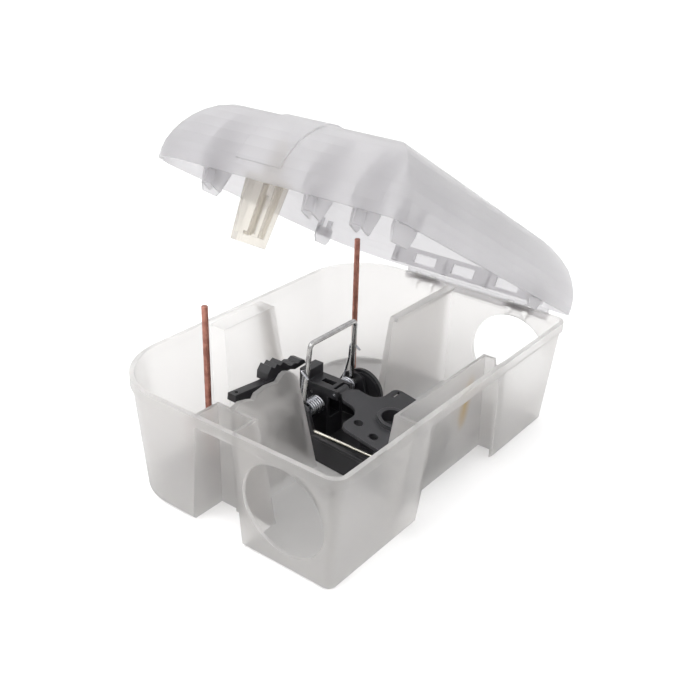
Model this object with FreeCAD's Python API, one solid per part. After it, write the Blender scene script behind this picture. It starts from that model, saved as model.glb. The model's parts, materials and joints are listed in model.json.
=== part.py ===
import FreeCAD, Part
import math
import os

# Translucent rodent station: a moulded tray with two entry holes, a hinged dome lid, two upright
# bait rods and a black snap trap that lifts out. Millimetres. +Z is up, +X is the hinge end,
# -X the latch end, -Y the side that stands against a wall. The origin is the middle of the
# underside of the tray's floor. The lid is drawn open, as it stands while the trap is set.

V = FreeCAD.Vector
X_AXIS = V(1, 0, 0)
Y_AXIS = V(0, 1, 0)
Z_AXIS = V(0, 0, 1)

# Tray
HALF_LENGTH = 125.0
HALF_WIDTH = 90.5
RIM_Z = 77.0
WALL = 2.2
FLOOR = 2.2
END_DRAFT = 4.75
SIDE_DRAFT = 7.1
RIM_BAND = 6.5
RIM_PROUD = 0.9
# Plan radii of the corners, in the order wall-side latch, wall-side hinge, room-side hinge,
# room-side latch
RIM_RADII = (8.0, 8.0, 45.0, 47.0)
FLOOR_RADII = (5.0, 5.0, 40.0, 42.0)
FOOT_CHAMFER = 2.0

# Entry holes, one in each end wall
ENTRY_Y = -51.9
ENTRY_Z = 39.9
ENTRY_RADIUS = 28.7

# Baffles between the run along the wall and the two bait bays
BAFFLE_Y = 0.5
BAFFLE_TOP_GAP = 49.0
BAFFLE_FLOOR_GAP = (32.5, 36.0)
BAFFLE_TOP_THICK = 3.0
BAFFLE_FLOOR_THICK = 7.0

# Bait rods
ROD_X = 74.7
ROD_Y = 49.8
ROD_TOP = 113.8
ROD_RADIUS = 2.0
ROD_FIT = 0.06
SOCKET_RADIUS = 5.0
SOCKET_TOP = 12.0

# Lid and hinge
LID_GAP = 0.4
LID_OVERHANG = 2.3
LID_LIP = 6.0
LID_ROUND = 34.5
LID_HEIGHT = 42.8
LID_POWER = 1.69
LID_WALL = 2.2
LID_OPEN_DEG = 30.2
HINGE_X = 129.4
HINGE_Z = 73.1
KNUCKLE_RADIUS = 3.2
BARREL_RADIUS = 2.9
PIN_RADIUS = 1.5
PIN_FIT = 0.06
HINGE_STATIONS = (-52.0, 26.0)

# Trap. It lies a little towards the hinge end, so it is drawn about x = 0 and then moved by TRAP_X.
TRAP_X = 2.2
AXLE_Y = 16.5
AXLE_Z = 31.0
AXLE_RADIUS = 1.5
SMALL_PIN_RADIUS = 1.0
TURN_FIT = 0.06
DISC_X = 30.6
DISC_Y = 10.5
DISC_Z = 24.8
DISC_RADIUS = 16.0
DISC_THICK = 2.4
CHEEK_INNER = 27.6
CHEEK_OUTER = 30.0
BAR_TOP_Y = 13.0
BAR_TOP_Z = 80.0
BAR_HALF = 23.2
BAR_FOOT_HALF = 25.4
BAR_RADIUS = 1.7
BAR_BEND = 3.4
EYE_RADIUS = 4.4
TRAP_FLOOR_Z = 2.6
TRAP_FLOOR_TOP = 5.0
TRAP_RIM_Z = 21.5
TRAP_FRONT_Y = -61.0
TRAP_REAR_Y = 46.0
PEDAL_PIVOT_Y = 5.0
PEDAL_PIVOT_Z = 40.0
PEDAL_TILT_DEG = 11.0
PEDAL_THICK = 2.4
PEDAL_CUP_Y = -37.0
CATCH_Y = 24.0
CATCH_Z = 36.0
HOUSING_TOP = 43.0
SCREW_X = 7.0
SCREW_Y = 30.0
SCREW_RADIUS = 1.5
SCREW_HEAD_RADIUS = 2.8
JAW_HALF = 28.3
JAW_FRONT_Y = -57.2
JAW_REAR_Y = 30.0
JAW_Z = 22.4
JAW_RADIUS = 1.1
JAW_BEND = 5.0
ARM_PIVOT_X = -21.0
ARM_PIVOT_Y = 41.0
ARM_PIVOT_Z = 47.0


# Shapes that the sub-parts share

def box(x0, x1, y0, y1, z0, z1):
    return Part.makeBox(x1 - x0, y1 - y0, z1 - z0, V(x0, y0, z0))


def cylinder(start, axis, radius, length):
    return Part.makeCylinder(radius, length, start, axis)


def ring(start, axis, outer, inner, length):
    return cylinder(start, axis, outer, length).cut(cylinder(start, axis, inner, length))


def polygon(points):
    return Part.Face(Part.makePolygon([V(*p) for p in points + points[:1]]))


def prism_xy(points, z0, z1):
    return polygon([(x, y, z0) for x, y in points]).extrude(V(0, 0, z1 - z0))


def prism_xz(points, y0, y1):
    return polygon([(x, y0, z) for x, z in points]).extrude(V(0, y1 - y0, 0))


def prism_yz(points, x0, x1):
    return polygon([(x0, y, z) for y, z in points]).extrude(V(x1 - x0, 0, 0))


def wedge(low, high, z0, z1):
    """A drafted block between two rectangles (x0, x1, y0, y1), one at each height."""
    wires = []
    for (x0, x1, y0, y1), z in ((low, z0), (high, z1)):
        corners = [(x0, y0), (x1, y0), (x1, y1), (x0, y1), (x0, y0)]
        wires.append(Part.makePolygon([V(x, y, z) for x, y in corners]))
    return Part.makeLoft(wires, True, True)


def grown(rectangle, margin):
    x0, x1, y0, y1 = rectangle
    return (x0 - margin, x1 + margin, y0 - margin, y1 + margin)


def round_wire(points, radius, wire_radius):
    """A round wire along points, with every corner bent to the same radius."""
    points = [V(*p) for p in points]
    edges = []
    start = points[0]
    for before, corner, after in zip(points, points[1:], points[2:]):
        into = (corner - before).normalize()
        out = (after - corner).normalize()
        turn = into.getAngle(out)
        reach = radius * math.tan(turn / 2)
        first = corner - into * reach
        last = corner + out * reach
        middle_way = (out - into).normalize()
        to_centre = radius / math.cos(turn / 2)
        middle = corner + middle_way * (to_centre - radius)
        edges.append(Part.LineSegment(start, first).toShape())
        edges.append(Part.Arc(first, middle, last).toShape())
        start = last
    edges.append(Part.LineSegment(start, points[-1]).toShape())
    path = Part.Wire(edges)
    section = Part.Wire(Part.makeCircle(wire_radius, points[0], points[1] - points[0]))
    return path.makePipeShell([section], True, True)


def outline(half_length, half_width, radii, z):
    """The tray's plan outline: a rectangle with a radius of its own at each corner."""
    corners = ((-1, -1, 180), (1, -1, 270), (1, 1, 0), (-1, 1, 90))
    edges = []
    ends = []
    for (sx, sy, start_deg), radius in zip(corners, radii):
        centre = V(sx * (half_length - radius), sy * (half_width - radius), z)
        angles = [math.radians(start_deg + step) for step in (0, 45, 90)]
        arc = [centre + V(math.cos(a), math.sin(a), 0) * radius for a in angles]
        ends.append(arc)
        edges.append(Part.Arc(*arc).toShape())
    sides = []
    for here, after in zip(ends, ends[1:] + ends[:1]):
        sides.append(Part.LineSegment(here[2], after[0]).toShape())
    ordered = [edge for pair in zip(edges, sides) for edge in pair]
    return Part.Wire(ordered)


def shrunk(radii, inset, least=0.6):
    return tuple(max(radius - inset, least) for radius in radii)


# Tray

def wall_solid(inset, z0, z1):
    """The drafted block inside the tray's outer faces, drawn in by inset."""
    wires = []
    for z in (z0, z1):
        down = (RIM_Z - z) / RIM_Z
        half_length = HALF_LENGTH - END_DRAFT * down - inset
        half_width = HALF_WIDTH - SIDE_DRAFT * down - inset
        blend = [top + (low - top) * down for top, low in zip(RIM_RADII, FLOOR_RADII)]
        wires.append(outline(half_length, half_width, shrunk(blend, inset), z))
    return Part.makeLoft(wires, True, True)


def foot_solid():
    """The lowest slice of the tray, with its bottom edge eased."""
    radii = shrunk(FLOOR_RADII, FOOT_CHAMFER)
    low = outline(HALF_LENGTH - END_DRAFT - FOOT_CHAMFER, HALF_WIDTH - SIDE_DRAFT - FOOT_CHAMFER,
                  radii, 0)
    down = (RIM_Z - FOOT_CHAMFER) / RIM_Z
    high = outline(HALF_LENGTH - END_DRAFT * down, HALF_WIDTH - SIDE_DRAFT * down,
                   FLOOR_RADII, FOOT_CHAMFER)
    return Part.makeLoft([low, high], True, True)


def rim_band():
    wires = []
    for z in (RIM_Z - RIM_BAND, RIM_Z):
        wires.append(outline(HALF_LENGTH + RIM_PROUD, HALF_WIDTH + RIM_PROUD,
                             tuple(r + RIM_PROUD for r in RIM_RADII), z))
    return Part.makeLoft(wires, True, True)


BAR_UNDER = RIM_Z - RIM_BAND
OVER = 1.0

# The channel in the latch end that takes the latch leg: outside faces at the floor and at the rim
LATCH_LOW = (-140.0, -96.0, -20.0, 19.5)
LATCH_HIGH = (-140.0, -107.5, -17.5, 8.5)
# The pocket in the wall side, wider behind its mouth
POCKET_LOW = (-57.0, 60.0, -81.0, -68.0)
POCKET_HIGH = (-51.0, 42.0, -88.0, -76.0)
MOUTH_LOW = (-39.5, 51.5, -100.0, -75.0)
MOUTH_HIGH = (-34.0, 37.0, -100.0, -80.0)
# The shallow recess in the room side, closed at the top
ROOM_LOW = (-36.0, 19.0, 68.0, 110.0)
ROOM_HIGH = (-31.0, 13.0, 77.0, 110.0)


def channel_blocks(outer):
    latch = wedge(grown(LATCH_LOW, WALL), grown(LATCH_HIGH, WALL), 0, RIM_Z)
    pocket_low = (POCKET_LOW[0] - WALL, POCKET_LOW[1] + WALL, -110.0, POCKET_LOW[3] + WALL)
    pocket_high = (POCKET_HIGH[0] - WALL, POCKET_HIGH[1] + WALL, -110.0, POCKET_HIGH[3] + WALL)
    pocket = wedge(pocket_low, pocket_high, 0, RIM_Z)
    room = wedge(grown(ROOM_LOW, WALL), grown(ROOM_HIGH, WALL), 0, RIM_Z - 2)
    return [block.common(outer) for block in (latch, pocket, room)]


def channel_voids():
    latch = wedge(LATCH_LOW, LATCH_HIGH, -OVER, RIM_Z + OVER)
    bridge = box(-140, -HALF_LENGTH + WALL, -60, 60, BAR_UNDER, RIM_Z + 2 * OVER)
    latch = latch.cut(bridge)
    pocket = wedge(POCKET_LOW, POCKET_HIGH, -OVER, RIM_Z + OVER)
    mouth = wedge(MOUTH_LOW, MOUTH_HIGH, -OVER, BAR_UNDER)
    room = wedge(ROOM_LOW, ROOM_HIGH, -OVER, RIM_Z - 2 - WALL)
    step = box(POCKET_HIGH[1] - 1, POCKET_HIGH[1] + 2 * WALL, -88.2, -82.3, RIM_Z - 5, RIM_Z + OVER)
    return [latch, pocket, mouth, room, step]


def baffle(side, floor_gap, end_x, top_profile):
    """One baffle, thin at its top and thick at the floor, with a sloping free end."""
    points = [(side * floor_gap, FLOOR - 0.5)]
    points += [(side * x, z) for x, z in top_profile]
    points += [(side * end_x, FLOOR - 0.5)]
    profile = prism_xz(points, BAFFLE_Y - BAFFLE_FLOOR_THICK, BAFFLE_Y + BAFFLE_FLOOR_THICK)
    half_low = BAFFLE_FLOOR_THICK / 2
    half_high = BAFFLE_TOP_THICK / 2
    taper = wedge((-HALF_LENGTH, HALF_LENGTH, BAFFLE_Y - half_low, BAFFLE_Y + half_low),
                  (-HALF_LENGTH, HALF_LENGTH, BAFFLE_Y - half_high, BAFFLE_Y + half_high), 0, 84)
    return profile.common(taper)


def rod_socket(side):
    place = V(side * ROD_X, ROD_Y, FLOOR - 0.5)
    return cylinder(place, Z_AXIS, SOCKET_RADIUS, SOCKET_TOP - FLOOR + 0.5)


def hinge_ears():
    """The tray's half of the hinge: two pairs of ears on the hinge end's rim."""
    ears = []
    for y in HINGE_STATIONS:
        for offset in EAR_OFFSETS:
            profile = [(HALF_LENGTH - 1.5, HINGE_Z - 9), (HINGE_X + 1.5, HINGE_Z - 3),
                       (HINGE_X, HINGE_Z), (HALF_LENGTH - 1.5, HINGE_Z + 1)]
            ear = prism_xz(profile, y + offset, y + offset + EAR_WIDTH)
            ear = ear.fuse(cylinder(V(HINGE_X, y + offset, HINGE_Z), Y_AXIS, KNUCKLE_RADIUS,
                                    EAR_WIDTH))
            ears.append(ear)
    return ears


def base_tray():
    outer = wall_solid(0, FOOT_CHAMFER, RIM_Z).fuse([foot_solid(), rim_band()])
    shell = outer.cut(wall_solid(WALL, FLOOR, RIM_Z + OVER))
    shell = shell.fuse(channel_blocks(outer)).cut(channel_voids())
    latch_baffle = [(48, 67), (50.4, 74.5), (54, 78.6), (60.7, 81.4), (63.6, 80.6), (67.4, 77.3),
                    (77, 78.6), (85.7, 77.3), (87.9, 74.4), (92, 76), (99, 77.6), (104.5, 76)]
    hinge_baffle = [(BAFFLE_TOP_GAP, 74), (BAFFLE_TOP_GAP + 2, 77), (HALF_LENGTH - 1, 77)]
    flange = prism_xz([(BAFFLE_TOP_GAP + 1, 74.6), (BAFFLE_TOP_GAP + 2, 77),
                       (HALF_LENGTH - 1, 77), (HALF_LENGTH - 1, 74.6)], BAFFLE_Y - 4, BAFFLE_Y + 2)
    latch_gap, hinge_gap = BAFFLE_FLOOR_GAP
    pieces = [baffle(-1, latch_gap, 100.0, latch_baffle),
              baffle(1, hinge_gap, 121.0, hinge_baffle), flange]
    pieces += [rod_socket(-1), rod_socket(1)]
    pieces += [rib.common(wall_solid(0.5, 0, RIM_Z)) for rib in trap_rails()]
    shell = shell.fuse(pieces + hinge_ears())
    for side in (-1, 1):
        shell = shell.cut(cylinder(V(side * 110, ENTRY_Y, ENTRY_Z), X_AXIS * side, ENTRY_RADIUS, 30))
        bore = V(side * ROD_X, ROD_Y, FLOOR + 0.8)
        shell = shell.cut(cylinder(bore, Z_AXIS, ROD_RADIUS + ROD_FIT, SOCKET_TOP))
    for y in HINGE_STATIONS:
        shell = shell.cut(cylinder(V(HINGE_X, y - 12, HINGE_Z), Y_AXIS, PIN_RADIUS, 24))
    return shell.removeSplitter()


RAIL_TOP = 6.5


def trap_rails():
    """Low rails on the floor that keep the trap from sliding about."""
    rails = []
    for side in (-1, 1):
        rail = box(*sorted((side * 31.5, side * 33.5)), 14, 34, FLOOR - 0.4, RAIL_TOP)
        rails.append(rail.translated(V(TRAP_X, 0, 0)))
    rails.append(box(-16, 16, 48.5, 50.5, FLOOR - 0.4, RAIL_TOP))
    return rails


# Lid, drawn closed and then swung open

def lid_profile(fraction, height, lip):
    """Height above the rim at a fraction of the way in from the lid's edge to its flat top."""
    rise = (1 - (1 - fraction) ** LID_POWER) ** (1 / LID_POWER)
    return lip + (height - lip) * rise


def dome(inset, drop):
    """The lid's outer form, drawn in by inset at the sides and lowered by drop at the top."""
    wires = []
    bottom = RIM_Z + LID_GAP - (OVER if inset > WALL / 2 else 0)
    edge = LID_OVERHANG - inset
    radii = tuple(radius + edge for radius in RIM_RADII)
    wires.append(outline(HALF_LENGTH + edge, HALF_WIDTH + edge, shrunk(radii, 0), bottom))
    for step in range(9):
        fraction = 1 - math.cos(math.pi / 2 * step / 8)
        inward = LID_ROUND * fraction
        z = RIM_Z + lid_profile(fraction, LID_HEIGHT - drop, LID_LIP)
        wires.append(outline(HALF_LENGTH + edge - inward, HALF_WIDTH + edge - inward,
                             shrunk(radii, inward), z))
    lower = Part.makeLoft(wires[:2], True, True)
    upper = Part.makeLoft(wires[1:], True, True)
    return lower.fuse(upper)


WEB_STATIONS = (33.0, -36.0, -66.0)
WEB_THICK = 1.6
WEB_SPACING = 7.0
WEB_HANG = 7.5
PANEL = (-19.5, 10.5)


def lid_webs(inner):
    """Pairs of webs inside the latch end's curve. Their feet hang inside the tray's rim."""
    front = -HALF_LENGTH + WALL + 0.9
    foot = [(front, RIM_Z + 1), (front + 2, RIM_Z - WEB_HANG),
            (front + 9, RIM_Z - WEB_HANG - 2), (front + 13, RIM_Z + 1)]
    rise = [(front - 8, RIM_Z + LID_GAP), (front + 13, RIM_Z + LID_GAP),
            (front + 16, RIM_Z + 38), (front - 8, RIM_Z + 38)]
    webs = []
    for y in WEB_STATIONS:
        for y0 in (y, y - WEB_SPACING):
            webs.append(prism_xz(rise, y0, y0 + WEB_THICK).common(inner))
            webs.append(prism_xz(foot, y0, y0 + WEB_THICK))
        webs.append(box(front + 2, front + 2 + WEB_THICK, y - WEB_SPACING, y + WEB_THICK,
                        RIM_Z - WEB_HANG + 1, RIM_Z + 6))
    return webs


# Lugs inside the long sides: place along x, side, half length and depth below the rim
SIDE_LUGS = ((72.0, 1, 9, 6), (-55.0, 1, 9, 6), (-106.0, -1, 11, 9), (70.0, -1, 9, 6))


def side_lugs():
    """Lugs inside the long sides that steer the lid onto the rim."""
    lugs = []
    for x, side, half, drop in SIDE_LUGS:
        y = side * (HALF_WIDTH - WALL - 1.2)
        profile = [(x - half, RIM_Z + 6), (x - half, RIM_Z - 2), (x - half + 3, RIM_Z - drop),
                   (x + half - 3, RIM_Z - drop), (x + half, RIM_Z - 2), (x + half, RIM_Z + 6)]
        lugs.append(prism_xz(profile, *sorted((y, y - side * WEB_THICK))))
        for edge in (3 - half, half - 4):
            lugs.append(box(x + edge, x + edge + 1.4,
                            *sorted((y + side * 2.4, y - side * WEB_THICK)),
                            RIM_Z + LID_GAP, RIM_Z + 12))
    return lugs


# The lid's hinge barrel: its ends, and the clear space round each of the tray's ears
BARREL = (-74.0, 42.0)
EAR_OFFSETS = (-8.5, 4.5)
EAR_WIDTH = 4.0
EAR_ROOM = 0.4


def hinge_barrel():
    """The barrel along the lid's hinge edge, with gaps for the ears and a bore at each pin."""
    y0, y1 = BARREL
    web = prism_xz([(HALF_LENGTH + LID_OVERHANG - 2.0, RIM_Z + LID_GAP + 5),
                    (HINGE_X - 1.2, HINGE_Z), (HINGE_X + 1.6, HINGE_Z),
                    (HALF_LENGTH + LID_OVERHANG - 0.2, RIM_Z + LID_GAP + 6)], y0, y1)
    barrel = web.fuse(cylinder(V(HINGE_X, y0, HINGE_Z), Y_AXIS, BARREL_RADIUS, y1 - y0))
    for y in HINGE_STATIONS:
        for offset in EAR_OFFSETS:
            start = y + offset - EAR_ROOM
            barrel = barrel.cut(cylinder(V(HINGE_X, start, HINGE_Z), Y_AXIS,
                                         KNUCKLE_RADIUS + EAR_ROOM, EAR_WIDTH + 2 * EAR_ROOM))
        barrel = barrel.cut(cylinder(V(HINGE_X, y - 12, HINGE_Z), Y_AXIS, PIN_RADIUS + PIN_FIT, 24))
    return barrel


def hinge_webs():
    """The rail inside the lid's hinge end, with the windows that let the mould form the hinge."""
    x = HALF_LENGTH + LID_OVERHANG - LID_WALL
    rail = box(x - 9, x - 7.2, -70, 52, RIM_Z + 1.5, RIM_Z + 14)
    for y in (-44, -8, 24):
        rail = rail.cut(box(x - 12, x - 5, y - 9, y + 9, RIM_Z + 4, RIM_Z + 11))
    webs = [rail]
    for y in (-70, -27, 8, 50.2):
        webs.append(box(x - 9, x + 1, y, y + 1.8, RIM_Z + 1.5, RIM_Z + 14))
    return webs


def swung(shape, angle=LID_OPEN_DEG):
    shape.rotate(V(HINGE_X, 0, HINGE_Z), Y_AXIS, angle)
    return shape


def lock_panel(outer):
    """The raised panel over the latch leg, with a square edge on both sides."""
    proud = dome(-0.9, -0.9)
    strip = box(-140, -88, PANEL[0], PANEL[1], RIM_Z + 9, RIM_Z + 60)
    return proud.common(strip).cut(outer)


def lid_shell():
    outer = dome(0, 0)
    inner = dome(LID_WALL, LID_WALL)
    shell = outer.cut(inner)
    shell = shell.fuse([lock_panel(outer)])
    inside = dome(LID_WALL / 2, LID_WALL / 2).fuse(box(-130, 130, -95, 95, 60, RIM_Z + 1))
    trimmed = [piece.common(inside) for piece in lid_webs(inner) + side_lugs() + hinge_webs()]
    shell = shell.fuse(trimmed + [hinge_barrel()])
    return swung(shell.removeSplitter())


def latch_leg():
    """The channel-shaped leg that drops into the latch end and snaps behind the rim."""
    top = (-119.0, -110.5, -15.5, 7.5)
    low = (-117.5, -111.0, -14.0, 5.0)
    z_low = 46.0
    leg = wedge(low, top, z_low, RIM_Z + 3)
    hollow = wedge((low[0] - 5, low[1] - 1.8, low[2] + 2, low[3] - 2),
                   (top[0] - 5, top[1] - 1.8, top[2] + 2, top[3] - 2), z_low + 4.5, RIM_Z + 4)
    leg = leg.cut(hollow)
    centre = (low[2] + low[3]) / 2
    leg = leg.fuse(box(low[0] + 0.6, low[1] - 1, centre - 0.9, centre + 0.9, z_low + 1, RIM_Z + 3))
    leg = leg.cut(box(low[1] - 2.4, low[1] + 3, centre - 0.6, centre + 0.6, z_low + 6, RIM_Z - 4))
    nib = prism_xz([(low[0] - 1.4, z_low + 6), (low[0] + 1, z_low + 6), (low[0] + 1, z_low + 1)],
                   centre - 2, centre + 2)
    plate = box(-119.5, -108.5, -17.0, 9.0, RIM_Z + 3, RIM_Z + 5)
    web = prism_xz([(-119.5, RIM_Z + 4), (-108.5, RIM_Z + 4), (-108.5, RIM_Z + 20),
                    (-112, RIM_Z + 25)], -7, -1.5)
    leg = leg.fuse([nib, plate, web.common(dome(LID_WALL + 0.05, LID_WALL + 0.05))])
    return swung(leg.removeSplitter())


def hinge_pins():
    pins = []
    for y in HINGE_STATIONS:
        pins.append(cylinder(V(HINGE_X, y - 9, HINGE_Z), Y_AXIS, PIN_RADIUS, 18))
    return Part.makeCompound(pins)


def bait_rod(side):
    bottom = FLOOR + 1.0
    rod = cylinder(V(side * ROD_X, ROD_Y, bottom), Z_AXIS, ROD_RADIUS, ROD_TOP - bottom)
    rims = [edge for edge in rod.Edges if edge.Closed]
    return rod.makeChamfer(0.35, rims)


# Trap

def half_width_at(y):
    """The trap tray widens from its rear to its front."""
    return 27.0 + 8.5 * (TRAP_REAR_Y - y) / (TRAP_REAR_Y - TRAP_FRONT_Y)


def tray_plan(inset):
    """The trap tray's outline, drawn in by inset, with clipped front corners."""
    rear = half_width_at(TRAP_REAR_Y) - inset
    front = half_width_at(TRAP_FRONT_Y) - inset
    y0 = TRAP_FRONT_Y + inset
    y1 = TRAP_REAR_Y - inset
    nose = 7.0
    return [(-rear, y1), (-front, y0 + nose), (-front + nose, y0), (front - nose, y0),
            (front, y0 + nose), (rear, y1)]


def trap_cheeks():
    """The raised sides that carry the striker's axle."""
    profile = [(-1, TRAP_RIM_Z - 6), (4, TRAP_RIM_Z), (9, 36), (13, 38.5), (20, 38.5), (25, 35),
               (32, TRAP_RIM_Z), (38, TRAP_RIM_Z - 6)]
    return [prism_yz(profile, *sorted((side * CHEEK_INNER, side * CHEEK_OUTER))) for side in (-1, 1)]


def arm_post():
    y0 = ARM_PIVOT_Y - 6.6
    post = box(ARM_PIVOT_X - 5, ARM_PIVOT_X + 6, y0, y0 + 3.3, TRAP_FLOOR_TOP - 0.5, ARM_PIVOT_Z)
    return post.fuse(cylinder(V(ARM_PIVOT_X, y0, ARM_PIVOT_Z), Y_AXIS, 5.0, 3.3))


def trap_tray():
    body = prism_xy(tray_plan(0), TRAP_FLOOR_Z, TRAP_RIM_Z)
    body = body.cut(prism_xy(tray_plan(2.0), TRAP_FLOOR_TOP, TRAP_RIM_Z + OVER))
    lip = prism_xy(tray_plan(-0.9), TRAP_RIM_Z - 2.2, TRAP_RIM_Z)
    lip = lip.cut(prism_xy(tray_plan(1.9), TRAP_RIM_Z - 3, TRAP_RIM_Z + OVER))
    rib_z = (TRAP_FLOOR_TOP - 0.5, 9)
    ribs = [box(-1, 1, TRAP_FRONT_Y + 1, -12, *rib_z)]
    ribs += [box(-30, 30, y, y + 1.6, *rib_z) for y in (-46, -29)]
    seats = [box(x - 2, x + 2, TRAP_FRONT_Y + 1, JAW_FRONT_Y + 1.5, TRAP_FLOOR_TOP - 0.5, JAW_Z)
             for x in (-12, 12)]
    body = body.fuse([lip, arm_post()] + trap_cheeks() + ribs + seats)
    body = body.cut(cylinder(V(-40, AXLE_Y, AXLE_Z), X_AXIS, AXLE_RADIUS, 80))
    body = body.cut(cylinder(V(CHEEK_OUTER + 0.05, DISC_Y, DISC_Z), X_AXIS, DISC_RADIUS + 0.6, 8))
    body = body.cut(cylinder(V(ARM_PIVOT_X, ARM_PIVOT_Y - 8, ARM_PIVOT_Z), Y_AXIS, AXLE_RADIUS, 8))
    for x in (-SCREW_X, SCREW_X):
        body = body.cut(cylinder(V(x, SCREW_Y, TRAP_FLOOR_Z - 1), Z_AXIS, SCREW_RADIUS, 6))
        body = body.cut(cylinder(V(x, SCREW_Y, TRAP_FLOOR_Z - 1), Z_AXIS, SCREW_HEAD_RADIUS, 2.2))
    return body.cut(jaw_wire()).removeSplitter()


def jaw_wire():
    """The bright wire that runs round the tray's rim, where the striker comes down."""
    return round_wire([(-JAW_HALF, JAW_REAR_Y, JAW_Z), (-JAW_HALF, JAW_FRONT_Y, JAW_Z),
                       (JAW_HALF, JAW_FRONT_Y, JAW_Z), (JAW_HALF, JAW_REAR_Y, JAW_Z)],
                      JAW_BEND, JAW_RADIUS)


def catch_housing():
    """The raised spine behind the pedal. It holds the pedal's pin and the catch."""
    z0 = TRAP_FLOOR_TOP
    lower = prism_yz([(10.5, z0), (34, z0), (34, HOUSING_TOP), (8, HOUSING_TOP), (8, 40.6),
                      (10.5, 36)], -8, 8)
    foot = prism_yz([(18, z0), (34, z0), (34, z0 + 6), (24, z0 + 6)], -12, 12)
    ears = [box(x, x + 2.4, 2.4, 10, 36.8, HOUSING_TOP) for x in (-8.0, 5.6)]
    block = box(-8, 8, 27, 34, HOUSING_TOP - 0.5, 50)
    body = lower.fuse([foot, block] + ears)
    body = body.cut(box(-2.4, 2.4, 10.5, 20.5, 38, 60))
    body = body.cut(box(-5.4, 5.4, 4, 30, 20, 40.6))
    body = body.cut(cylinder(V(-20, PEDAL_PIVOT_Y, PEDAL_PIVOT_Z), X_AXIS, SMALL_PIN_RADIUS, 40))
    body = body.cut(cylinder(V(-20, CATCH_Y, CATCH_Z), X_AXIS, SMALL_PIN_RADIUS, 40))
    body = body.cut(cylinder(V(-20, AXLE_Y, AXLE_Z), X_AXIS, AXLE_RADIUS + 0.4, 40))
    for x in (-SCREW_X, SCREW_X):
        body = body.cut(cylinder(V(x, SCREW_Y, z0 - 1), Z_AXIS, SCREW_RADIUS, 9))
    return body.removeSplitter()


def housing_screws():
    screws = []
    for x in (-SCREW_X, SCREW_X):
        shank = cylinder(V(x, SCREW_Y, TRAP_FLOOR_Z + 0.6), Z_AXIS, SCREW_RADIUS, 9.0)
        head = cylinder(V(x, SCREW_Y, TRAP_FLOOR_Z + 0.2), Z_AXIS, SCREW_HEAD_RADIUS, 1.0)
        slot = box(x - 2, x + 2, SCREW_Y - 0.3, SCREW_Y + 0.3, TRAP_FLOOR_Z, TRAP_FLOOR_Z + 0.7)
        screws.append(shank.fuse(head).cut(slot).removeSplitter())
    return Part.makeCompound(screws)


def pivot_axle():
    start = -CHEEK_OUTER - 1.0
    return cylinder(V(start, AXLE_Y, AXLE_Z), X_AXIS, AXLE_RADIUS, DISC_X + DISC_THICK + 0.4 - start)


def spring_disc():
    """The round cheek outside the striker's hinge-side leg."""
    boss_x = CHEEK_OUTER + 0.05
    disc = cylinder(V(DISC_X, DISC_Y, DISC_Z), X_AXIS, DISC_RADIUS, DISC_THICK)
    disc = disc.fuse(cylinder(V(boss_x, AXLE_Y, AXLE_Z), X_AXIS, 5.0, DISC_X - boss_x + 0.1))
    face = DISC_X - 0.1
    disc = disc.cut(ring(V(face, DISC_Y, DISC_Z), X_AXIS, DISC_RADIUS - 1.6, DISC_RADIUS - 2.6, 0.8))
    disc = disc.cut(ring(V(DISC_X + 1.6, DISC_Y, DISC_Z), X_AXIS, DISC_RADIUS - 2.2, 12.0, 2.0))
    return disc.cut(cylinder(V(20, AXLE_Y, AXLE_Z), X_AXIS, AXLE_RADIUS, 20)).removeSplitter()


def bar_at(z):
    """Where the striker's leg is at a height: its distance from the middle, and its y."""
    up = (z - AXLE_Z) / (BAR_TOP_Z - AXLE_Z)
    return BAR_FOOT_HALF + (BAR_HALF - BAR_FOOT_HALF) * up, AXLE_Y + (BAR_TOP_Y - AXLE_Y) * up


def striker_bar():
    foot_half, foot_y = bar_at(AXLE_Z + EYE_RADIUS - 1.0)
    foot_z = AXLE_Z + EYE_RADIUS - 1.0
    bar = round_wire([(-foot_half, foot_y, foot_z), (-BAR_HALF, BAR_TOP_Y, BAR_TOP_Z),
                      (BAR_HALF, BAR_TOP_Y, BAR_TOP_Z), (foot_half, foot_y, foot_z)],
                     BAR_BEND, BAR_RADIUS)
    for side in (-1, 1):
        start = V(side * BAR_FOOT_HALF - BAR_RADIUS, AXLE_Y, AXLE_Z)
        bar = bar.fuse(cylinder(start, X_AXIS, EYE_RADIUS, 2 * BAR_RADIUS))
        start.x -= 2
        bar = bar.cut(cylinder(start, X_AXIS, AXLE_RADIUS + TURN_FIT, 2 * BAR_RADIUS + 4))
    return bar.removeSplitter()


COIL_RADIUS = 5.2
COIL_WIRE = 0.85
COIL_PITCH = 2.0
COIL_TURNS = 6
COIL_OUTER_X = 22.4
HOOK_WIRE = 0.75
HOOK_Z = 60.0


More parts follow.
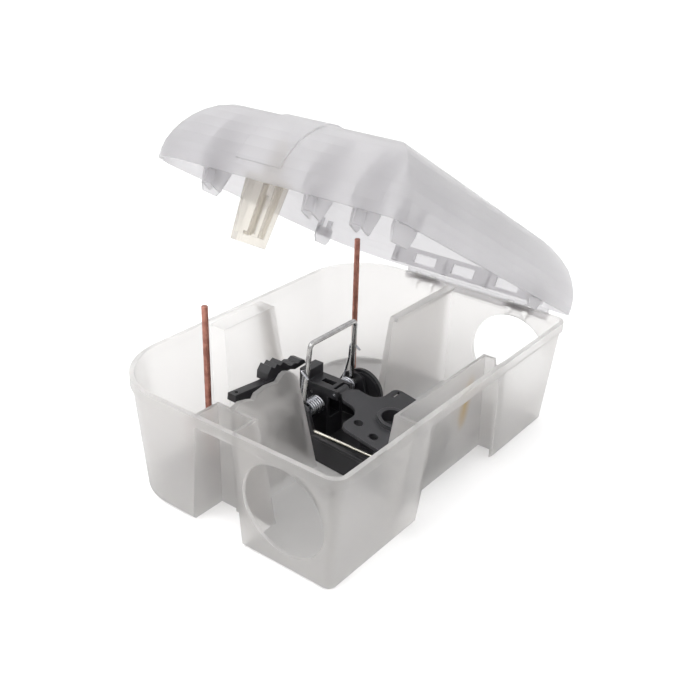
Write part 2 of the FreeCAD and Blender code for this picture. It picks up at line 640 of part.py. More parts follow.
def torsion_spring(side):
    """A coil round the axle with one leg up the striker, hooked over it."""
    length = COIL_PITCH * COIL_TURNS
    helix = Part.makeHelix(COIL_PITCH, length, COIL_RADIUS)
    helix.rotate(V(0, 0, 0), Y_AXIS, 90)
    start_x = -COIL_OUTER_X if side < 0 else COIL_OUTER_X - length
    helix.translate(V(start_x, AXLE_Y, AXLE_Z))
    first = helix.Vertexes[0].Point
    direction = helix.Edges[0].tangentAt(helix.Edges[0].FirstParameter)
    section = Part.Wire(Part.makeCircle(COIL_WIRE, first, direction))
    coil = Part.Wire(helix.Edges).makePipeShell([section], True, True)
    bar_x, bar_y = bar_at(HOOK_Z)
    behind = AXLE_Y + COIL_RADIUS
    clear = BAR_RADIUS + HOOK_WIRE + 0.25
    leg = round_wire([(side * (COIL_OUTER_X - 0.2), behind, AXLE_Z),
                      (side * (bar_x + 0.3), bar_y + clear + 0.8, HOOK_Z - 9),
                      (side * (bar_x + 0.1), bar_y + clear, HOOK_Z),
                      (side * (bar_x + clear + 0.2), bar_y + clear, HOOK_Z + 1.3),
                      (side * (bar_x + clear + 0.4), bar_y - clear - 0.6, HOOK_Z - 3)],
                     0.8, HOOK_WIRE)
    return coil.fuse(leg)


def tilted(shape):
    """Turns a pedal drawn flat at its pivot into its tilted place."""
    shape.rotate(V(0, PEDAL_PIVOT_Y, PEDAL_PIVOT_Z), X_AXIS, PEDAL_TILT_DEG)
    return shape


def pedal_side(side, z):
    """One side of the pedal's outline: neck, hollow shoulder, rounded horn and clipped corner."""
    def at(x, y):
        return V(side * x, y, z)

    def line(start, end):
        return Part.LineSegment(start, end).toShape()

    return [
        line(at(4.8, 1.5), at(8.5, -2.5)),
        line(at(8.5, -2.5), at(8.5, -8.0)),
        Part.Arc(at(8.5, -8.0), at(11.5, -15.0), at(19.0, -17.6)).toShape(),
        line(at(19.0, -17.6), at(24.0, -17.6)),
        Part.Arc(at(24.0, -17.6), at(29.0, -18.8), at(31.0, -23.0)).toShape(),
        line(at(31.0, -23.0), at(31.0, -49.0)),
        line(at(31.0, -49.0), at(25.0, -56.0)),
    ]


def pedal_plate(z0, z1):
    edges = pedal_side(1, z0) + pedal_side(-1, z0)
    for half, y in ((4.8, 1.5), (25.0, -56.0)):
        edges.append(Part.LineSegment(V(half, y, z0), V(-half, y, z0)).toShape())
    wire = Part.Wire(Part.__sortEdges__(edges))
    return Part.Face(wire).extrude(V(0, 0, z1 - z0))


# Round holes in the pedal, and its one slot
PEDAL_HOLES = ((-19.5, -24.0), (-23.0, -38.5), (23.0, -38.5))
PEDAL_HOLE_RADIUS = 3.1
PEDAL_SLOT = (21.4, 28.6, -22.6, -20.4)
WELL_RADIUS = 9.5


def trip_pedal():
    z = PEDAL_PIVOT_Z
    half = PEDAL_THICK / 2
    plate = pedal_plate(z - half, z + half)
    hub = cylinder(V(-4.8, PEDAL_PIVOT_Y, z), X_AXIS, 2.6, 9.6)
    neck = box(-4.8, 4.8, 0, PEDAL_PIVOT_Y, z - half, z + half)
    skirts = [box(side * 17 - 0.9, side * 17 + 0.9, -48, -20, z - 4, z) for side in (-1, 1)]
    well = ring(V(0, PEDAL_CUP_Y, z - 5), Z_AXIS, WELL_RADIUS + 1.7, WELL_RADIUS, 6.4 + half)
    pedal = plate.fuse([hub, neck, well] + skirts)
    pedal = pedal.cut(cylinder(V(0, PEDAL_CUP_Y, z - 10), Z_AXIS, WELL_RADIUS, 20))
    for x, y in PEDAL_HOLES:
        pedal = pedal.cut(cylinder(V(x, y, z - 5), Z_AXIS, PEDAL_HOLE_RADIUS, 10))
    pedal = pedal.cut(box(*PEDAL_SLOT, z - 3, z + 3))
    bore = cylinder(V(-10, PEDAL_PIVOT_Y, z), X_AXIS, SMALL_PIN_RADIUS + TURN_FIT, 20)
    return tilted(pedal.cut(bore).removeSplitter())


def bait_cup():
    z = PEDAL_PIVOT_Z
    base = V(0, PEDAL_CUP_Y, z - 7)
    lip = V(0, PEDAL_CUP_Y, z + PEDAL_THICK / 2 + 1.4)
    cup = ring(base, Z_AXIS, WELL_RADIUS, WELL_RADIUS - 1.5, 9.6 + PEDAL_THICK / 2)
    cup = cup.fuse([cylinder(base, Z_AXIS, WELL_RADIUS, 1.5),
                    ring(lip, Z_AXIS, WELL_RADIUS + 1.1, WELL_RADIUS - 1.5, 1.2)])
    return tilted(cup.removeSplitter())


def pedal_pin():
    return cylinder(V(-8, PEDAL_PIVOT_Y, PEDAL_PIVOT_Z), X_AXIS, SMALL_PIN_RADIUS, 16)


def catch_pin():
    return cylinder(V(-8, CATCH_Y, CATCH_Z), X_AXIS, SMALL_PIN_RADIUS, 16)


def trip_catch():
    """The small sear under the spine that lets the striker go when the pedal dips."""
    z = CATCH_Z
    body = prism_yz([(10, z - 1), (26, z - 2.4), (26.5, z + 2.4), (21, z + 2.6), (10, z + 1.6)], -2, 2)
    body = body.fuse(cylinder(V(-3.2, CATCH_Y, z), X_AXIS, 2.8, 6.4))
    bore = cylinder(V(-5, CATCH_Y, z), X_AXIS, SMALL_PIN_RADIUS + TURN_FIT, 10)
    return body.cut(bore).removeSplitter()


def setting_arm():
    """The side arm: a flat bar that lifts to its far end, with a small hole there."""
    y0 = ARM_PIVOT_Y - 3.0
    z = ARM_PIVOT_Z
    bar = prism_xz([(-66, z + 0.8), (-65.3, z + 5.4), (-38, z + 2.6), (-16, z + 2.6), (-14, z),
                    (-16, z - 3.6), (-40, z - 3.6), (-61.5, z - 3)], y0, y0 + 6.4)
    bar = bar.cut(cylinder(V(-61, y0 + 3.2, z - 10), Z_AXIS, 1.3, 20))
    bar = bar.cut(cylinder(V(ARM_PIVOT_X, y0 - 1, z), Y_AXIS, AXLE_RADIUS + TURN_FIT, 10))
    return bar.removeSplitter()


def toothed_grip():
    """The ridged grip on top of the arm, with a low tail past the pivot."""
    z = ARM_PIVOT_Z + 2.6
    outline_xz = [(-35.5, z), (-35, z + 5.4), (-31.5, z + 9.4), (-28.5, z + 7.2), (-26, z + 9.2),
                  (-23, z + 6.8), (-20, z + 8.4), (-15, z + 4), (-12, z + 2.2), (-8.5, z + 2.7),
                  (-5, z + 1.3), (-2, z + 2.6), (1.5, z + 1.4), (3, z - 1.4), (-8, z - 2),
                  (-13, z)]
    return prism_xz(outline_xz, ARM_PIVOT_Y - 3.0, ARM_PIVOT_Y + 6.4)


def arm_pin():
    return cylinder(V(ARM_PIVOT_X, ARM_PIVOT_Y - 6.6, ARM_PIVOT_Z), Y_AXIS, AXLE_RADIUS, 10.0)


def save(name, shape):
    if not shape.isValid():
        print("not valid:", name)
    print(f"{name:18s} solids {len(shape.Solids)} volume {shape.Volume:10.0f}")
    shape.exportStep(f"parts/{name}.step")


def main():
    os.makedirs("parts", exist_ok=True)
    station = {
        "base_tray": base_tray(),
        "lid_shell": lid_shell(),
        "latch_leg": latch_leg(),
        "hinge_pins": hinge_pins(),
        "bait_rod_left": bait_rod(-1),
        "bait_rod_right": bait_rod(1),
    }
    trap = {
        "trap_tray": trap_tray(),
        "jaw_wire": jaw_wire(),
        "catch_housing": catch_housing(),
        "housing_screws": housing_screws(),
        "pivot_axle": pivot_axle(),
        "spring_disc": spring_disc(),
        "striker_bar": striker_bar(),
        "spring_left": torsion_spring(-1),
        "spring_right": torsion_spring(1),
        "trip_pedal": trip_pedal(),
        "bait_cup": bait_cup(),
        "pedal_pin": pedal_pin(),
        "trip_catch": trip_catch(),
        "catch_pin": catch_pin(),
        "setting_arm": setting_arm(),
        "toothed_grip": toothed_grip(),
        "arm_pin": arm_pin(),
    }
    for name, shape in station.items():
        save(name, shape)
    for name, shape in trap.items():
        shape.translate(V(TRAP_X, 0, 0))
        save(name, shape)


main()
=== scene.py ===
"""Looks for the translucent rodent station and the snap trap inside it.

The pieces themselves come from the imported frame. This script gives every moulding, wire and rod its
finish, and sets up a plain floor, soft lights and a camera.
"""

import json
import logging
import math
from dataclasses import dataclass, field
from enum import Enum

import bpy
from mathutils import Matrix, Vector

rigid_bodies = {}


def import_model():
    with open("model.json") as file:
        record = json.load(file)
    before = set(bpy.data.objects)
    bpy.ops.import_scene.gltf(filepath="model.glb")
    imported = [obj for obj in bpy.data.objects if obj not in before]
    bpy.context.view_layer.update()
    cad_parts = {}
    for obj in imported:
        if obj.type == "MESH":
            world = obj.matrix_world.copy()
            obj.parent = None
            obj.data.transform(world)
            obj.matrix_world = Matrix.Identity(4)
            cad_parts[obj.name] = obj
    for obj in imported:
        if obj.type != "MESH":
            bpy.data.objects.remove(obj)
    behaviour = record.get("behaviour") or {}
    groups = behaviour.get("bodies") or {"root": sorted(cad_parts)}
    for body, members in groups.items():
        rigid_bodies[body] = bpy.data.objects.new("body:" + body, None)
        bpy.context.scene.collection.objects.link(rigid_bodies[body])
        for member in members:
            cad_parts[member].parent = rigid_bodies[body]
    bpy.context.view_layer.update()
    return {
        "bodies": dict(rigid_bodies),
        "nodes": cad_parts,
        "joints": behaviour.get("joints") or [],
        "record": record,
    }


LOG = logging.getLogger("rodent_station")

CLOUD_DETAIL = 3.0
GRAIN_DETAIL = 2.0
PLATING_DETAIL = 4.0
PLATING_SPREAD = (0.35, 0.65)
BEVEL_SAMPLES = 6

Colour = tuple[float, float, float]
Point = tuple[float, float, float]


class Effect(Enum):
    """Shader groups that more than one finish uses."""

    GRAIN = "moulded_grain"
    # The edge group rounds edges and gives the mask for the painted edge highlight of the black moulding.
    EDGE_ROUNDING = "edge_rounding_and_highlight_mask"
    MOTTLE = "plating_mottle"


# Shader groups


class GroupMaker:
    """Builds one shader group with named inputs and outputs, and keeps its nodes in order."""

    def __init__(self, effect: Effect) -> None:
        """Starts an empty group.

        Args:
            effect: the effect that the group is named for.
        """
        self.tree = bpy.data.node_groups.new(effect.value, "ShaderNodeTree")
        self.inlet = self.tree.nodes.new("NodeGroupInput")
        self.outlet = self.tree.nodes.new("NodeGroupOutput")

    def takes(self, name: str, kind: str, default: float | Colour) -> None:
        """Adds an input socket.

        Args:
            name: the socket's name.
            kind: Float or Color.
            default: its value when nothing is set.
        """
        socket = self.tree.interface.new_socket(name=name, in_out="INPUT", socket_type=f"NodeSocket{kind}")
        socket.default_value = (*default, 1.0) if kind == "Color" else default

    def gives(self, name: str, kind: str) -> None:
        """Adds an output socket called name, of kind Float or Color."""
        self.tree.interface.new_socket(name=name, in_out="OUTPUT", socket_type=f"NodeSocket{kind}")

    def node(self, kind: str, **settings: object) -> bpy.types.Node:
        """Adds a node.

        Args:
            kind: the node's type, without ShaderNode.
            settings: properties to set on it.

        Returns:
            The new node.
        """
        return add_node(self.tree, kind, **settings)

    def join(self, start: bpy.types.NodeSocket, end: bpy.types.NodeSocket) -> None:
        """Links one socket to another."""
        self.tree.links.new(start, end)


def add_node(tree: bpy.types.NodeTree, kind: str, **settings: object) -> bpy.types.Node:
    """Adds a shader node to a tree.

    Args:
        tree: the tree to add it to.
        kind: the node's type, without ShaderNode.
        settings: properties to set on it.

    Returns:
        The new node.
    """
    node = tree.nodes.new(f"ShaderNode{kind}")
    for key, value in settings.items():
        setattr(node, key, value)
    return node


def build_grain() -> bpy.types.NodeTree:
    """Builds the cloudy, finely grained look of moulded plastic.

    Returns:
        A group with the outputs Cloud (0 to 1) and Grain (0 to 1).
    """
    group = GroupMaker(Effect.GRAIN)
    group.takes("Cloud Scale", "Float", 14.0)
    group.takes("Grain Scale", "Float", 900.0)
    group.gives("Cloud", "Float")
    group.gives("Grain", "Float")
    place = group.node("TexCoord")
    cloud = group.node("TexNoise")
    cloud.inputs["Detail"].default_value = CLOUD_DETAIL
    grain = group.node("TexNoise")
    grain.inputs["Detail"].default_value = GRAIN_DETAIL
    for noise, scale in ((cloud, "Cloud Scale"), (grain, "Grain Scale")):
        group.join(place.outputs["Object"], noise.inputs["Vector"])
        group.join(group.inlet.outputs[scale], noise.inputs["Scale"])
    group.join(cloud.outputs["Fac"], group.outlet.inputs["Cloud"])
    group.join(grain.outputs["Fac"], group.outlet.inputs["Grain"])
    return group.tree


def build_edge_rounding() -> bpy.types.NodeTree:
    """Builds the rounded edges of hard pieces, and a mask of those edges that the black moulding uses to
    paint a highlight along them.

    Returns:
        A group with the outputs Normal (edges rounded over) and Edge (1 on an edge, 0 on a flat).
    """
    group = GroupMaker(Effect.EDGE_ROUNDING)
    group.takes("Radius", "Float", 0.0004)
    group.takes("Spread", "Float", 6.0)
    group.gives("Normal", "Vector")
    group.gives("Edge", "Float")
    rounded = group.node("Bevel", samples=BEVEL_SAMPLES)
    flat = group.node("NewGeometry")
    group.join(group.inlet.outputs["Radius"], rounded.inputs["Radius"])
    facing = group.node("VectorMath", operation="DOT_PRODUCT")
    group.join(rounded.outputs["Normal"], facing.inputs[0])
    group.join(flat.outputs["Normal"], facing.inputs[1])
    turned = group.node("Math", operation="SUBTRACT")
    turned.inputs[0].default_value = 1.0
    group.join(facing.outputs["Value"], turned.inputs[1])
    edge = group.node("Math", operation="MULTIPLY", use_clamp=True)
    group.join(turned.outputs["Value"], edge.inputs[0])
    group.join(group.inlet.outputs["Spread"], edge.inputs[1])
    group.join(rounded.outputs["Normal"], group.outlet.inputs["Normal"])
    group.join(edge.outputs["Value"], group.outlet.inputs["Edge"])
    return group.tree


def build_mottle() -> bpy.types.NodeTree:
    """Builds the drawn streaks and cloudy plating of wire and rod.

    Returns:
        A group with the outputs Colour, Roughness and Height.
    """
    group = GroupMaker(Effect.MOTTLE)
    group.takes("Light", "Color", (0.7, 0.7, 0.7))
    group.takes("Dark", "Color", (0.4, 0.4, 0.4))
    group.takes("Smooth", "Float", 0.2)
    group.takes("Rough", "Float", 0.4)
    group.takes("Scale", "Float", 160.0)
    group.gives("Colour", "Color")
    group.gives("Roughness", "Float")
    group.gives("Height", "Float")
    place = group.node("TexCoord")
    cloud = group.node("TexNoise")
    cloud.inputs["Detail"].default_value = PLATING_DETAIL
    group.join(place.outputs["Object"], cloud.inputs["Vector"])
    group.join(group.inlet.outputs["Scale"], cloud.inputs["Scale"])
    spread = group.node("MapRange")
    spread.inputs["From Min"].default_value = PLATING_SPREAD[0]
    spread.inputs["From Max"].default_value = PLATING_SPREAD[1]
    group.join(cloud.outputs["Fac"], spread.inputs["Value"])
    colour = group.node("Mix", data_type="RGBA")
    group.join(spread.outputs["Result"], colour.inputs["Factor"])
    group.join(group.inlet.outputs["Light"], colour.inputs["A"])
    group.join(group.inlet.outputs["Dark"], colour.inputs["B"])
    rough = group.node("Mix", data_type="FLOAT")
    group.join(spread.outputs["Result"], rough.inputs["Factor"])
    group.join(group.inlet.outputs["Smooth"], rough.inputs["A"])
    group.join(group.inlet.outputs["Rough"], rough.inputs["B"])
    group.join(colour.outputs["Result"], group.outlet.inputs["Colour"])
    group.join(rough.outputs["Result"], group.outlet.inputs["Roughness"])
    group.join(cloud.outputs["Fac"], group.outlet.inputs["Height"])
    return group.tree


class EffectShelf:
    """Builds each shader group once and hands it out."""

    def __init__(self) -> None:
        """Builds every group."""
        self.trees = {
            Effect.GRAIN: build_grain(),
            Effect.EDGE_ROUNDING: build_edge_rounding(),
            Effect.MOTTLE: build_mottle(),
        }

    def place(self, tree: bpy.types.NodeTree, effect: Effect, **values: float | Colour) -> bpy.types.Node:
        """Places a group in a material.

        Args:
            tree: the material's node tree.
            effect: the group to place.
            values: its inputs, with an underscore for each space.

        Returns:
            The group node.
        """
        node = add_node(tree, "Group", node_tree=self.trees[effect])
        for key, value in values.items():
            socket = node.inputs[key.replace("_", " ")]
            socket.default_value = (*value, 1.0) if isinstance(value, tuple) else value
        return node


def new_material(name: str) -> tuple[bpy.types.Material, bpy.types.NodeTree, bpy.types.Node]:
    """Makes an empty material with a Principled shader.

    Args:
        name: the finish's name.

    Returns:
        The material, its node tree and the shader.
    """
    material = bpy.data.materials.new(name)
    material.use_nodes = True
    return material, material.node_tree, material.node_tree.nodes["Principled BSDF"]


def blend_colour(tree: bpy.types.NodeTree, low: Colour, high: Colour,
                 mask: bpy.types.NodeSocket) -> bpy.types.NodeSocket:
    """Blends two colours by a mask.

    Args:
        tree: the material's node tree.
        low: the colour where the mask is 0.
        high: the colour where the mask is 1.
        mask: the mask.

    Returns:
        The blended colour.
    """
    colour = add_node(tree, "Mix", data_type="RGBA")
    colour.inputs["A"].default_value = (*low, 1.0)
    colour.inputs["B"].default_value = (*high, 1.0)
    tree.links.new(mask, colour.inputs["Factor"])
    return colour.outputs["Result"]


def vary_roughness(tree: bpy.types.NodeTree, shader: bpy.types.Node, cloud: bpy.types.NodeSocket,
                   limits: tuple[float, float]) -> None:
    """Makes the roughness follow a cloud between two limits.

    Args:
        tree: the material's node tree.
        shader: the Principled shader.
        cloud: the value to follow, 0 to 1.
        limits: the roughness at 0 and at 1.
    """
    rough = add_node(tree, "MapRange")
    rough.inputs["To Min"].default_value = limits[0]
    rough.inputs["To Max"].default_value = limits[1]
    tree.links.new(cloud, rough.inputs["Value"])
    tree.links.new(rough.outputs["Result"], shader.inputs["Roughness"])


def raise_grain(tree: bpy.types.NodeTree, shader: bpy.types.Node, height: bpy.types.NodeSocket,
                normal: bpy.types.NodeSocket, distance: float, strength: float) -> None:
    """Adds a fine bump on top of the rounded edges.

    Args:
        tree: the material's node tree.
        shader: the Principled shader.
        height: the bump's height, 0 to 1.
        normal: the normal with rounded edges.
        distance: how high the bump is, in metres.
        strength: how much of it shows.
    """
    bump = add_node(tree, "Bump")
    bump.inputs["Distance"].default_value = distance
    bump.inputs["Strength"].default_value = strength
    tree.links.new(height, bump.inputs["Height"])
    tree.links.new(normal, bump.inputs["Normal"])
    tree.links.new(bump.outputs["Normal"], shader.inputs["Normal"])


# Finishes


@dataclass(frozen=True)
class FrostedPlastic:
    """Milky translucent moulding that light passes through and that blurs what lies behind it."""

    name: str
    tint: Colour
    shade: Colour
    roughness: tuple[float, float] = (0.26, 0.42)
    transmission: float = 0.82
    alpha: float = 0.7
    refraction: float = 1.2
    cloud_scale: float = 18.0
    grain_scale: float = 1400.0
    grain_height: float = 0.00003
    grain_strength: float = 0.5
    edge_radius: float = 0.0006
    edge_spread: float = 4.0
    stain: Colour | None = None
    stain_centre: Point = (0.0, 0.0, 0.0)
    stain_reach: Point = (1.0, 1.0, 1.0)
    stain_ragged: float = 1.6
    stain_fade: tuple[float, float] = (1.9, 1.1)

    def build(self, shelf: EffectShelf) -> bpy.types.Material:
        """Builds the material.

        Args:
            shelf: where the shared groups are.

        Returns:
            The finished material.
        """
        material, tree, shader = new_material(self.name)
        grain = shelf.place(tree, Effect.GRAIN, Cloud_Scale=self.cloud_scale,
                            Grain_Scale=self.grain_scale)
        cloud = grain.outputs["Cloud"]
        top = blend_colour(tree, self.shade, self.tint, cloud)
        if self.stain:
            top = self.stained(tree, top, cloud)
        tree.links.new(top, shader.inputs["Base Color"])
        vary_roughness(tree, shader, cloud, self.roughness)
        edge = shelf.place(tree, Effect.EDGE_ROUNDING, Radius=self.edge_radius, Spread=self.edge_spread)
        raise_grain(tree, shader, grain.outputs["Grain"], edge.outputs["Normal"],
                    self.grain_height, self.grain_strength)
        shader.inputs["IOR"].default_value = self.refraction
        shader.inputs["Transmission Weight"].default_value = self.transmission
        shader.inputs["Alpha"].default_value = self.alpha
        return material

    def stained(self, tree: bpy.types.NodeTree, base: bpy.types.NodeSocket,
                cloud: bpy.types.NodeSocket) -> bpy.types.NodeSocket:
        """Adds a soft stain to the base colour.

        Args:
            tree: the material's node tree.
            base: the colour without the stain.
            cloud: a value that breaks up the stain's edge.

        Returns:
            The colour with the stain.
        """
        join = tree.links.new
        place = add_node(tree, "TexCoord")
        away = add_node(tree, "VectorMath", operation="SUBTRACT")
        away.inputs[1].default_value = self.stain_centre
        join(place.outputs["Object"], away.inputs[0])
        scaled = add_node(tree, "VectorMath", operation="DIVIDE")
        scaled.inputs[1].default_value = self.stain_reach
        join(away.outputs["Vector"], scaled.inputs[0])
        far = add_node(tree, "VectorMath", operation="LENGTH")
        join(scaled.outputs["Vector"], far.inputs[0])
        broken = add_node(tree, "Math", operation="MULTIPLY_ADD")
        broken.inputs[1].default_value = self.stain_ragged
        join(cloud, broken.inputs[0])
        join(far.outputs["Value"], broken.inputs[2])
        mask = add_node(tree, "MapRange", interpolation_type="SMOOTHSTEP")
        mask.inputs["From Min"].default_value = self.stain_fade[0]
        mask.inputs["From Max"].default_value = self.stain_fade[1]
        join(broken.outputs["Value"], mask.inputs["Value"])
        mixed = add_node(tree, "Mix", data_type="RGBA")
        mixed.inputs["B"].default_value = (*self.stain, 1.0)
        join(mask.outputs["Result"], mixed.inputs["Factor"])
        join(base, mixed.inputs["A"])
        return mixed.outputs["Result"]


@dataclass(frozen=True)
class BlackMoulding:
    """Satin black plastic with rounded edges that catch the light, and a painted highlight: a lighter base
    colour along the edges.
    """

    name: str
    base: Colour = (0.016, 0.016, 0.018)
    # Lighter colour painted along the edges: a painted highlight.
    edge_highlight: Colour = (0.07, 0.07, 0.075)
    roughness: tuple[float, float] = (0.28, 0.42)
    cloud_scale: float = 60.0
    grain_scale: float = 2600.0
    grain_height: float = 0.00003
    grain_strength: float = 0.6
    edge_radius: float = 0.0005
    edge_spread: float = 5.0

    def build(self, shelf: EffectShelf) -> bpy.types.Material:
        """Builds the material, with the shared groups from shelf, and returns it."""
        material, tree, shader = new_material(self.name)
        grain = shelf.place(tree, Effect.GRAIN, Cloud_Scale=self.cloud_scale,
                            Grain_Scale=self.grain_scale)
        edge = shelf.place(tree, Effect.EDGE_ROUNDING, Radius=self.edge_radius, Spread=self.edge_spread)
        # Painted highlight: the base colour turns lighter along the edges.
        top = blend_colour(tree, self.base, self.edge_highlight, edge.outputs["Edge"])
        tree.links.new(top, shader.inputs["Base Color"])
        vary_roughness(tree, shader, grain.outputs["Cloud"], self.roughness)
        raise_grain(tree, shader, grain.outputs["Grain"], edge.outputs["Normal"],
                    self.grain_height, self.grain_strength)
        return material


@dataclass(frozen=True)
class DrawnMetal:
    """Wire, pin or rod with cloudy plating."""

    name: str
    light: Colour
    dark: Colour
    smooth: float = 0.18
    rough: float = 0.36
    metallic: float = 1.0
    scale: float = 220.0
    streak_height: float = 0.00004
    streak_strength: float = 0.35
    edge_radius: float = 0.0002
    edge_spread: float = 3.0

    def build(self, shelf: EffectShelf) -> bpy.types.Material:
        """Builds the material, with the shared groups from shelf, and returns it."""
        material, tree, shader = new_material(self.name)
        join = tree.links.new
        plating = shelf.place(tree, Effect.MOTTLE, Light=self.light, Dark=self.dark,
                              Smooth=self.smooth, Rough=self.rough, Scale=self.scale)
        join(plating.outputs["Colour"], shader.inputs["Base Color"])
        join(plating.outputs["Roughness"], shader.inputs["Roughness"])
        edge = shelf.place(tree, Effect.EDGE_ROUNDING, Radius=self.edge_radius, Spread=self.edge_spread)
        raise_grain(tree, shader, plating.outputs["Height"], edge.outputs["Normal"],
                    self.streak_height, self.streak_strength)
        shader.inputs["Metallic"].default_value = self.metallic
        return material


@dataclass(frozen=True)
class PaleFloor:
    """The plain pale surface that the station stands on."""

    name: str = "pale_floor"
    colour: Colour = (0.93, 0.93, 0.93)
    shade: Colour = (0.91, 0.91, 0.91)
    cloud_scale: float = 3.0
    roughness: float = 0.8
    gloss: float = 0.1

    def build(self, shelf: EffectShelf) -> bpy.types.Material:
        """Builds the material, with the shared groups from shelf, and returns it."""
        material, tree, shader = new_material(self.name)
        grain = shelf.place(tree, Effect.GRAIN, Cloud_Scale=self.cloud_scale)
        top = blend_colour(tree, self.colour, self.shade, grain.outputs["Cloud"])
        tree.links.new(top, shader.inputs["Base Color"])
        shader.inputs["Roughness"].default_value = self.roughness
        shader.inputs["Specular IOR Level"].default_value = self.gloss
        return material


# Sub-assemblies


@dataclass
class SubAssembly:
    """Pieces of one sub-assembly and the finish of each."""

    frame: dict
    shelf: EffectShelf

    def dress(self, finish: bpy.types.Material, *names: str) -> None:
        """Gives CAD nodes a finish.

        Args:
            finish: the material.
            names: the nodes' names.
        """
        for name in names:
            mesh = self.frame["nodes"][name].data
            mesh.materials.clear()
            mesh.materials.append(finish)
            LOG.info("dressed %s in %s", name, finish.name)


@dataclass
class Station(SubAssembly):
    """The tray, the lid with its latch leg, and the hinge pins."""

    stain_centre: Point = (0.028, -0.072, 0.048)
    stain_reach: Point = (0.010, 0.012, 0.026)

    def build(self) -> None:
        """Gives each piece of the station its finish."""
        tray = FrostedPlastic("frosted_tray", tint=(0.79, 0.775, 0.76), shade=(0.66, 0.645, 0.635),
                              stain=(0.62, 0.40, 0.10), stain_centre=self.stain_centre,
                              stain_reach=self.stain_reach)
        lid = FrostedPlastic("frosted_lid", tint=(0.74, 0.73, 0.74), shade=(0.60, 0.59, 0.61),
                             roughness=(0.24, 0.38), transmission=0.76, alpha=0.78)
        leg = FrostedPlastic("frosted_leg", tint=(0.66, 0.62, 0.55), shade=(0.54, 0.50, 0.44),
                             roughness=(0.16, 0.3))
        self.dress(tray.build(self.shelf), "base_tray")
        self.dress(lid.build(self.shelf), "lid_shell")
        self.dress(leg.build(self.shelf), "latch_leg")
        pins = DrawnMetal("hinge_pin_steel", (0.6, 0.6, 0.6), (0.45, 0.45, 0.46))
        self.dress(pins.build(self.shelf), "hinge_pins")


@dataclass
class BaitRods(SubAssembly):
    """The two upright rods that hold bait blocks."""

    def build(self) -> None:
        """Gives both rods their coppery finish."""
        copper = DrawnMetal("coppered_rod", (0.46, 0.21, 0.16), (0.30, 0.13, 0.10), 0.3, 0.5, 0.75)
        self.dress(copper.build(self.shelf), "bait_rod_left", "bait_rod_right")


@dataclass
class SnapTrap(SubAssembly):
    """The black trap with its wire striker and springs."""

    def build(self) -> None:
        """Gives each piece of the trap its finish."""
        body = BlackMoulding("black_body").build(self.shelf)
        pedal = BlackMoulding("black_pedal", base=(0.028, 0.028, 0.031)).build(self.shelf)
        self.dress(body, "trap_tray", "catch_housing", "spring_disc", "setting_arm", "toothed_grip")
        self.dress(pedal, "trip_pedal", "bait_cup")
        wire = DrawnMetal("plated_wire", (0.62, 0.62, 0.61), (0.44, 0.44, 0.44), 0.12, 0.28)
        self.dress(wire.build(self.shelf), "striker_bar")
        jaw = DrawnMetal("jaw_wire_steel", (0.86, 0.84, 0.74), (0.66, 0.64, 0.56), 0.12, 0.28)
        self.dress(jaw.build(self.shelf), "jaw_wire")
        spring = DrawnMetal("spring_wire", (0.55, 0.56, 0.58), (0.36, 0.37, 0.4), 0.15, 0.32)
        self.dress(spring.build(self.shelf), "spring_left", "spring_right")
        steel = DrawnMetal("pin_steel", (0.6, 0.6, 0.6), (0.45, 0.45, 0.46))
        self.dress(steel.build(self.shelf), "pivot_axle", "pedal_pin", "catch_pin", "arm_pin",
                   "trip_catch", "housing_screws")


# Stage


@dataclass(frozen=True)
class View:
    """Where the camera stands and what it looks at, in metres and degrees."""

    target: Point = (0.11509, 0.08314, 0.0)
    azimuth: float = -53.405
    elevation: float = 27.016
    roll: float = 1.856
    distance: float = 0.7843
    lens: float = 50.644
    sensor: float = 36.0

    def back(self) -> Vector:
        """Returns the direction from the target to the camera."""
        turn = math.radians(self.azimuth)
        rise = math.radians(self.elevation)
        return Vector((math.sin(turn) * math.cos(rise), -math.cos(turn) * math.cos(rise), math.sin(rise)))

    def build(self) -> None:
        """Makes the camera and gives it to the scene."""
        back = self.back()
        level = Vector((0, 0, 1)).cross(back).normalized()
        upright = back.cross(level)
        c = math.cos(math.radians(self.roll))
        s = math.sin(math.radians(self.roll))
        right = level * c + upright * s
        up = upright * c - level * s
        camera = bpy.data.cameras.new("camera")
        camera.lens = self.lens
        camera.sensor_width = self.sensor
        holder = bpy.data.objects.new("camera", camera)
        turned = Matrix((right, up, back)).transposed().to_4x4()
        holder.matrix_world = Matrix.Translation(Vector(self.target) + back * self.distance) @ turned
        bpy.context.scene.collection.objects.link(holder)
        bpy.context.scene.camera = holder


@dataclass(frozen=True)
class Lamp:
    """A soft square light."""

    name: str
    place: Point
    aim: Point
    power: float
    width: float

    def build(self) -> None:
        """Makes the light."""
        light = bpy.data.lights.new(self.name, "AREA")
        light.energy = self.power
        light.size = self.width
        holder = bpy.data.objects.new(self.name, light)
        holder.location = self.place
        facing = Vector(self.place) - Vector(self.aim)
        holder.rotation_euler = facing.to_track_quat("Z", "Y").to_euler()
        bpy.context.scene.collection.objects.link(holder)


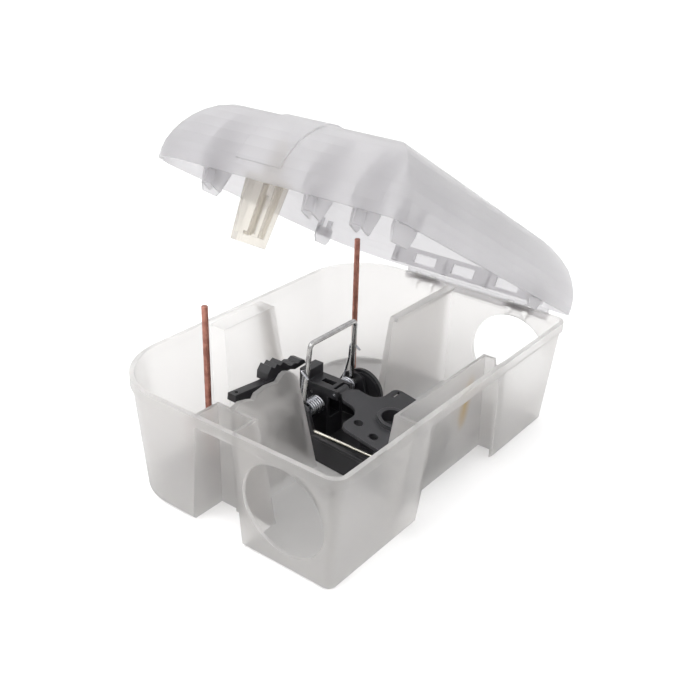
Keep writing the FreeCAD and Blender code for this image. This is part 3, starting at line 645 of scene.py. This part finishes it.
@dataclass
class Studio:
    """The floor, the light and the camera."""

    shelf: EffectShelf
    floor_half: float = 4.0
    sky: Colour = (1.0, 1.0, 1.0)
    side_light: float = 0.35
    top_light: float = 1.5
    full_height: float = 0.7
    bounces: int = 24
    clear_layers: int = 32
    lamps: list[Lamp] = field(default_factory=lambda: [
        Lamp("key", (-0.7, 0.2, 1.2), (0.0, 0.0, 0.08), 7.0, 0.8),
        Lamp("fill", (-0.9, -1.1, 0.9), (0.0, 0.0, 0.08), 2.0, 1.0),
    ])

    def build(self) -> None:
        """Builds the whole stage."""
        self.lay_floor()
        self.light_sky()
        for lamp in self.lamps:
            lamp.build()
        View().build()
        self.tune_light()

    def lay_floor(self) -> None:
        """Lays a flat floor under the station."""
        half = self.floor_half
        mesh = bpy.data.meshes.new("floor")
        corners = [(-half, -half, 0), (half, -half, 0), (half, half, 0), (-half, half, 0)]
        mesh.from_pydata(corners, [], [(0, 1, 2, 3)])
        mesh.materials.append(PaleFloor().build(self.shelf))
        floor = bpy.data.objects.new("floor", mesh)
        bpy.context.scene.collection.objects.link(floor)

    def light_sky(self) -> None:
        """Makes a white surround that lights from above more than from the sides."""
        world = bpy.data.worlds.new("surround")
        world.use_nodes = True
        tree = world.node_tree
        seen = tree.nodes["Background"]
        seen.inputs["Color"].default_value = (*self.sky, 1.0)
        place = add_node(tree, "TexCoord")
        split = add_node(tree, "SeparateXYZ")
        tree.links.new(place.outputs["Generated"], split.inputs["Vector"])
        rise = add_node(tree, "MapRange")
        rise.inputs["From Max"].default_value = self.full_height
        rise.inputs["To Min"].default_value = self.side_light
        rise.inputs["To Max"].default_value = self.top_light
        tree.links.new(split.outputs["Z"], rise.inputs["Value"])
        cast = add_node(tree, "Background")
        cast.inputs["Color"].default_value = (*self.sky, 1.0)
        tree.links.new(rise.outputs["Result"], cast.inputs["Strength"])
        path = add_node(tree, "LightPath")
        chosen = add_node(tree, "MixShader")
        tree.links.new(path.outputs["Is Camera Ray"], chosen.inputs["Fac"])
        tree.links.new(cast.outputs["Background"], chosen.inputs[1])
        tree.links.new(seen.outputs["Background"], chosen.inputs[2])
        tree.links.new(chosen.outputs["Shader"], tree.nodes["World Output"].inputs["Surface"])
        bpy.context.scene.world = world

    def tune_light(self) -> None:
        """Lets light pass through as many layers of plastic as the station has."""
        scene = bpy.context.scene
        scene.view_settings.view_transform = "Standard"
        scene.cycles.max_bounces = self.bounces
        scene.cycles.transmission_bounces = self.bounces
        scene.cycles.transparent_max_bounces = self.clear_layers


def main() -> None:
    """Builds the looks in order."""
    logging.basicConfig(level=logging.INFO, format="%(name)s: %(message)s")
    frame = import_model()
    shelf = EffectShelf()
    for assembly in (Station(frame, shelf), BaitRods(frame, shelf), SnapTrap(frame, shelf)):
        assembly.build()
        LOG.info("built %s", type(assembly).__name__)
    Studio(shelf).build()


if __name__ == "__main__":
    main()
